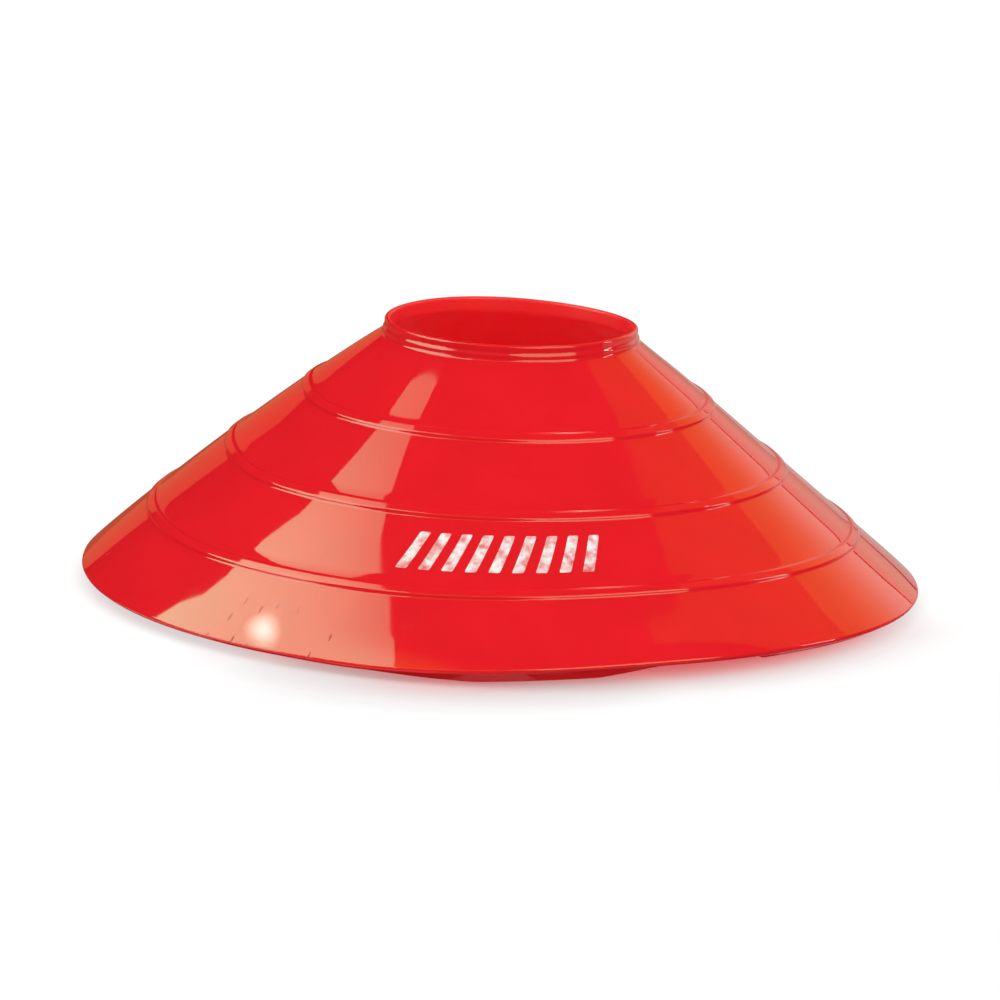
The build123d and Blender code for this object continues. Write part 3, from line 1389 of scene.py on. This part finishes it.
@dataclass
class Studio:
    """White floor, even daylight, a dark tent for the gloss, lit cards and the camera.

    The floor's own light carries painted light near the cone: a painted red glow, for light that comes
    through the plastic, and a painted shade ring, both by rings about the cone's axis from the shade radius
    to the clear radius; and a painted shadow by rings about a place before the foot. Both start at 0 and end
    at 1. The open floor behind and beside the cone is free of them.
    """

    floor_reach: float = 6.0
    floor_level: float = -0.1
    floor_colour: Colour = (0.42, 0.42, 0.42, 1.0)
    floor_glow: float = 0.53
    shade_radius: float = 84.0
    clear_radius: float = 134.0
    # Painted light on the floor: a red glow under the lip for light through the plastic, then a painted shade
    # ring, then a little brighter than white
    painted_red_glow_and_shade: tuple[tuple[float, Colour], ...] = (
        (0.0, (1.1, 0.18, 0.2, 1.0)),
        (0.06, (1.12, 0.26, 0.26, 1.0)),
        (0.12, (1.18, 0.4, 0.4, 1.0)),
        (0.18, (1.2, 0.6, 0.58, 1.0)),
        (0.24, (1.2, 0.84, 0.82, 1.0)),
        (0.28, (1.15, 0.93, 0.92, 1.0)),
        (0.4, (0.92, 0.84, 0.84, 1.0)),
        (0.52, (0.98, 0.95, 0.95, 1.0)),
        (0.72, (1.1, 1.09, 1.09, 1.0)),
        (1.0, (1.0, 1.0, 1.0, 1.0)),
    )
    # Painted shadow, tinted red, on the floor before the foot: darkest at its middle and white at its edge
    dusk_middle: Point = (-12.0, -100.0)
    dusk_stretch: Point = (1.0, 1.83)
    dusk_radius: float = 55.0
    dusk: tuple[tuple[float, Colour], ...] = (
        (0.0, (0.86, 0.36, 0.36, 1.0)),
        (0.2, (0.78, 0.42, 0.42, 1.0)),
        (0.45, (0.75, 0.66, 0.66, 1.0)),
        (0.75, (0.84, 0.82, 0.82, 1.0)),
        (1.0, (1.0, 1.0, 1.0, 1.0)),
    )
    open_colour: Colour = (1.1, 1.1, 1.1, 1.0)
    open_direction: tuple[float, float, float] = (-0.35, 1.0, 0.0)
    open_from: float = -72.0
    open_full: float = -40.0
    open_ring: float = 0.1
    open_ring_full: float = 0.25
    daylight: float = 1.17
    underglow_colour: tuple[float, float, float] = (1.0, 1.0, 1.0)
    underglow_power: float = 0.03
    underglow_radius: float = 14.0
    underglow_level: float = 24.0
    tent_radius: float = 1.4
    tent_glow: float = 0.006
    tent_rings: int = 24
    tent_turns: int = 48
    camera_aim: tuple[float, float, float] = (-1.0556, 0.0, 20.9754)
    camera_distance: float = 1940.15
    camera_elevation: float = 12.7893
    camera_roll: float = 2.2746
    camera_lens: float = 291.414
    camera_sensor: float = 36.0
    camera_reach: float = 100.0

    def painted_floor_light(self, graph: Graph) -> Socket:
        """Colour of the floor's own light, with painted red glow and painted shadow near the cone.

        Args:
            graph: The node tree of the floor.

        Returns:
            White, but for the painted red glow and painted shadow near the cone.
        """
        place = graph.place()
        shade = self.shade_radius * MM
        rings = graph.map_range(graph.length(place), shade, self.clear_radius * MM, smooth=False)
        from_dusk = graph.shifted(place, Vector((*self.dusk_middle, 0.0)) * MM)
        from_dusk = graph.length(graph.scaled(from_dusk, Vector((*self.dusk_stretch, 1.0))))
        dusk_share = graph.map_range(from_dusk, 0.0, self.dusk_radius * MM, smooth=False)
        # Painted light near the cone: red glow and shade rings about the axis, times a painted shadow before
        # the foot
        painted_near_light = graph.product(graph.ramp(rings, self.painted_red_glow_and_shade), graph.ramp(dusk_share, self.dusk))
        behind = graph.dot(place, Vector(self.open_direction))
        behind = graph.map_range(behind, self.open_from * MM, self.open_full * MM)
        open_share = graph.times(behind, graph.map_range(rings, self.open_ring, self.open_ring_full))
        return graph.mix_colour(open_share, painted_near_light, self.open_colour)

    def build_floor(self) -> None:
        """Lay the white floor, which keeps the cone's shadow."""
        size = 2 * self.floor_reach
        corners = np.array([(x, y, self.floor_level * MM) for x, y in block(size, size)])
        floor = mesh_object("studio_floor", corners, [(0, 1, 2, 3)])
        graph = Graph(bpy.data.materials.new("studio_floor_white"))
        diffuse = graph.add("ShaderNodeBsdfDiffuse")
        diffuse.inputs["Color"].default_value = self.floor_colour
        glow = graph.add("ShaderNodeEmission")
        # The floor's own light, seen by camera and gloss, carries the painted red glow and painted shadow
        # near the cone
        graph.link(self.painted_floor_light(graph), glow.inputs["Color"])
        graph.link(graph.times(graph.seen_directly(), self.floor_glow), glow.inputs["Strength"])
        both = graph.add("ShaderNodeAddShader")
        graph.link(diffuse.outputs["BSDF"], both.inputs[0])
        graph.link(glow.outputs["Emission"], both.inputs[1])
        graph.show(both.outputs["Shader"])
        floor.data.materials.append(graph.owner)

    def build_daylight(self) -> None:
        """Light the scene evenly from all round, before a white background."""
        graph = Graph(bpy.data.worlds.new("studio_daylight"))
        bpy.context.scene.world = graph.owner
        background = graph.tree.nodes["Background"]
        background.inputs["Color"].default_value = Tint.WHITE.value
        strength = graph.map_range(graph.seen_directly(), 0.0, 1.0, self.daylight, 1.0, smooth=False)
        graph.link(strength, background.inputs["Strength"])

    def build_underglow(self) -> None:
        """Hang a small lamp inside the cone, for the daylight that comes through its wall."""
        data = bpy.data.lights.new("studio_underglow", "POINT")
        data.color = self.underglow_colour
        data.energy = self.underglow_power
        data.shadow_soft_size = self.underglow_radius * MM
        lamp = scene_object("studio_underglow", data)
        lamp.location = (0.0, 0.0, self.underglow_level * MM)
        lamp.visible_camera = False
        lamp.visible_glossy = False

    def build_tent(self) -> None:
        """Put a dark tent round the set, which only the gloss of the plastic sees."""
        turns = self.tent_turns
        points = [(0.0, 0.0, self.tent_radius)]
        for ring in range(1, self.tent_rings + 1):
            tilt = QUARTER_TURN * ring / self.tent_rings
            level = self.tent_radius * cos(tilt)
            reach = self.tent_radius * sin(tilt)
            points += [(x, y, level) for x, y in oval((0.0, 0.0), (reach, 0.0), (0.0, reach), turns)]
        faces = [(0, 1 + turn, 1 + (turn + 1) % turns) for turn in range(turns)]
        for ring in range(self.tent_rings - 1):
            first = 1 + ring * turns
            for turn in range(turns):
                beside = (turn + 1) % turns
                faces.append((first + turn, first + turns + turn, first + turns + beside, first + beside))
        tent = mesh_object("studio_tent", np.array(points), faces)
        graph = Graph(bpy.data.materials.new("studio_tent_dark"))
        dark = graph.add("ShaderNodeEmission")
        dark.inputs["Color"].default_value = Tint.WHITE.value
        dark.inputs["Strength"].default_value = self.tent_glow
        graph.show(dark.outputs["Emission"])
        tent.data.materials.append(graph.owner)
        gloss_only(tent)

    def wall_cards(self) -> list[GlowCard]:
        """The window on the left with its lamp, the wall of light on the right, and a grey wall behind.

        Returns:
            The cards.
        """
        window_outline = [
            (-62, 79), (-82, 78), (-102, 90), (-120, 107), (-132, 128), (-141, 155), (-157, 178), (-185, 190),
            (-260, 215), (-260, -300), (-40, -190), (-12, -165), (-20, -147), (-37, -121), (-40, -107),
            (-39, -85), (-49, -55), (-49, -45), (-46, -20), (-43, -8), (-29, 2),
        ]
        window_fade = Fade(Glow(Tint.PALE_GREEN, 5.9), (-21.7, -12.5), (-95.4, -54.9))
        lamp_middle = (-116.6, -8.0)
        lamp_axes = ((-13.1, 31.5), (-15.2, 16.8))
        lamp_fade = Fade(Glow(Tint.PALE_GREEN, 5.5), lamp_middle, rings=lamp_axes)
        lamp_outline = oval(lamp_middle, *lamp_axes)
        window = Hang(150.45, 53.70, 400.0)
        window_lamp = Hang(150.45, 53.70, 395.0)
        right_wall = Hang(42.04, 39.49, 500.0)
        seam = [(-60, 30), (-2, -21), (21, -40), (42, -59), (63, -76), (150, -150)]
        dim_outline = [
            (40, 170), (101, 166), (117, 157), (131, 192), (143, 215), (149, 233), (153, 262), (156, 322),
            (180, 330), *reversed(seam),
        ]
        bright_outline = [*seam, (-60, -420), (-165, -400), (-165, -60)]
        bright_glow = Glow(Tint.WARM, 0.53)
        bright_fade = Fade(Glow(Tint.CREAM, 0.96), (20.0, -40.0), (-165.0, -250.0))
        pale_outline = [(-173, -60), (-173, -430), (-520, -430), (-520, -60)]
        pale_fade = Fade(Glow(Tint.CREAM, 0.35), (-230.0, 0.0), (-420.0, 0.0))
        grey_outline = [
            (-195, -90), (120, -90), (120, 20), (-60, 115), (-148, 165), (-232, 213), (-211, 126), (-195, 51),
        ]
        return [
            GlowCard("studio_window", window, window_outline, Glow(Tint.PALE_GREEN, 2.3), window_fade),
            GlowCard("studio_window_lamp", window_lamp, lamp_outline, Glow(Tint.WARM_WHITE, 18.0), lamp_fade),
            GlowCard("studio_right_wall_dim", right_wall, dim_outline, Glow(Tint.AMBER, 0.26)),
            GlowCard("studio_right_wall_bright", right_wall, bright_outline, bright_glow, bright_fade),
            GlowCard("studio_right_wall_pale", right_wall, pale_outline, Glow(Tint.CREAM, 0.68), pale_fade),
            GlowCard("studio_left_wall_grey", Hang(104.0, 4.0, 600.0), grey_outline, Glow(Tint.RUSSET, 0.22)),
        ]

    def floor_cards(self) -> list[GlowCard]:
        """The lit floor before, under and behind the cone.

        Returns:
            The cards.
        """
        ground = Hang(90.0, -90.0, 29.6)
        over_ground = Hang(90.0, -90.0, 29.5)
        under_outline = oval((0.0, 0.0), (96.0, 0.0), (0.0, 96.0), 48)
        near_outline = [
            (-98, -38), (-80, -68), (-55, -90), (-28, -100), (0, -101), (26, -98), (55, -85), (85, -120),
            (40, -147), (0, -155), (-40, -150), (-85, -135), (-125, -100), (-150, -55),
        ]
        near_fade = Fade(Glow(Tint.PEACH, 0.2), (-40.0, 0.0), (-5.0, 0.0))
        back_fade = Fade(Glow(Tint.GREY, 0.5), (-40.0, 0.0), (40.0, 0.0))
        return [
            GlowCard("studio_front_floor", ground, half_floor(-1.0), Glow(Tint.RUSSET, 0.03)),
            GlowCard("studio_near_floor", over_ground, near_outline, Glow(Tint.PEACH, 1.5), near_fade),
            GlowCard("studio_under_floor", ground, under_outline, Glow(Tint.RED, 0.3)),
            GlowCard("studio_back_floor", ground, half_floor(1.0), Glow(Tint.RUSSET, 0.12), back_fade),
        ]

    def lamp_cards(self) -> list[GlowCard]:
        """Cards high and low before the cone, and small lamps beside and behind it.

        Returns:
            The cards.
        """
        high_outline = [
            (330, -150), (330, 168), (270, 128), (200, 92), (130, 66), (60, 51), (-60, 51), (-130, 66),
            (-130, -150),
        ]
        high_fade = Fade(Glow(Tint.AMBER, 1.3), (200.0, 93.0), (245.0, 15.0))
        high = Hang(-90.0, 72.0, 600.0)
        strip = Hang(-90.0, 45.0, 700.0)
        left = Hang(-165.0, 28.0, 600.0)
        right = Hang(-54.0, 38.0, 600.0)
        side = Hang(13.0, 25.0, 1300.0)
        back_strip = Hang(75.5, 56.0, 600.0)
        back_lamp = Hang(67.0, 39.5, 600.0)
        return [
            GlowCard("studio_front_high", high, high_outline, Glow(Tint.AMBER, 0.0), high_fade),
            GlowCard("studio_front_strip", strip, block(2800, 400), Glow(Tint.CREAM, 0.15)),
            GlowCard("studio_front_left", left, block(320, 360), Glow(Tint.PALE, 5.5)),
            GlowCard("studio_front_right", right, block(534, 480), Glow(Tint.PEACH, 3.4)),
            GlowCard("studio_side_lamp", side, block(40, 520), Glow(Tint.PALE, 30.0)),
            GlowCard("studio_back_strip", back_strip, block(52, 126), Glow(Tint.CREAM, 6.0)),
            GlowCard("studio_back_lamp", back_lamp, block(24, 16), Glow(Tint.WHITE, 12.0)),
        ]

    def build_camera(self) -> None:
        """Set the camera up at the photograph's viewing angle."""
        data = bpy.data.cameras.new("studio_camera")
        data.lens = self.camera_lens
        data.sensor_width = self.camera_sensor
        data.clip_end = self.camera_reach
        camera = scene_object("studio_camera", data)
        bpy.context.scene.camera = camera
        tilt = radians(self.camera_elevation)
        roll = radians(self.camera_roll)
        forward = Vector((0.0, cos(tilt), -sin(tilt)))
        level = Vector((1.0, 0.0, 0.0))
        upward = Vector((0.0, sin(tilt), cos(tilt)))
        right = level * cos(roll) + upward * sin(roll)
        top = upward * cos(roll) - level * sin(roll)
        place = Vector(self.camera_aim) * MM - forward * self.camera_distance * MM
        turn = Matrix((right, top, -forward)).transposed().to_4x4()
        camera.matrix_world = Matrix.Translation(place) @ turn

    def build(self) -> None:
        """Set up floor, light, cards and camera."""
        bpy.context.scene.view_settings.view_transform = "Standard"
        self.build_floor()
        self.build_daylight()
        self.build_underglow()
        self.build_tent()
        for card in (*self.wall_cards(), *self.floor_cards(), *self.lamp_cards()):
            card.build()
            log.info("card hung: %s", card.name)
        self.build_camera()


def main() -> None:
    """Build the cone, its print and the studio, and report each piece."""
    logging.basicConfig(level=logging.INFO, format="%(name)s: %(message)s")
    cone = ConeShell()
    shell = cone.build()
    cone.dress(shell)
    log.info("piece built: %s, %d faces", shell.name, len(shell.data.polygons))
    bars = PrintedBars(cone)
    print_piece = bars.build()
    bars.dress(print_piece)
    log.info("piece built: %s, %d faces", print_piece.name, len(print_piece.data.polygons))
    Studio().build()


if __name__ == "__main__":
    main()
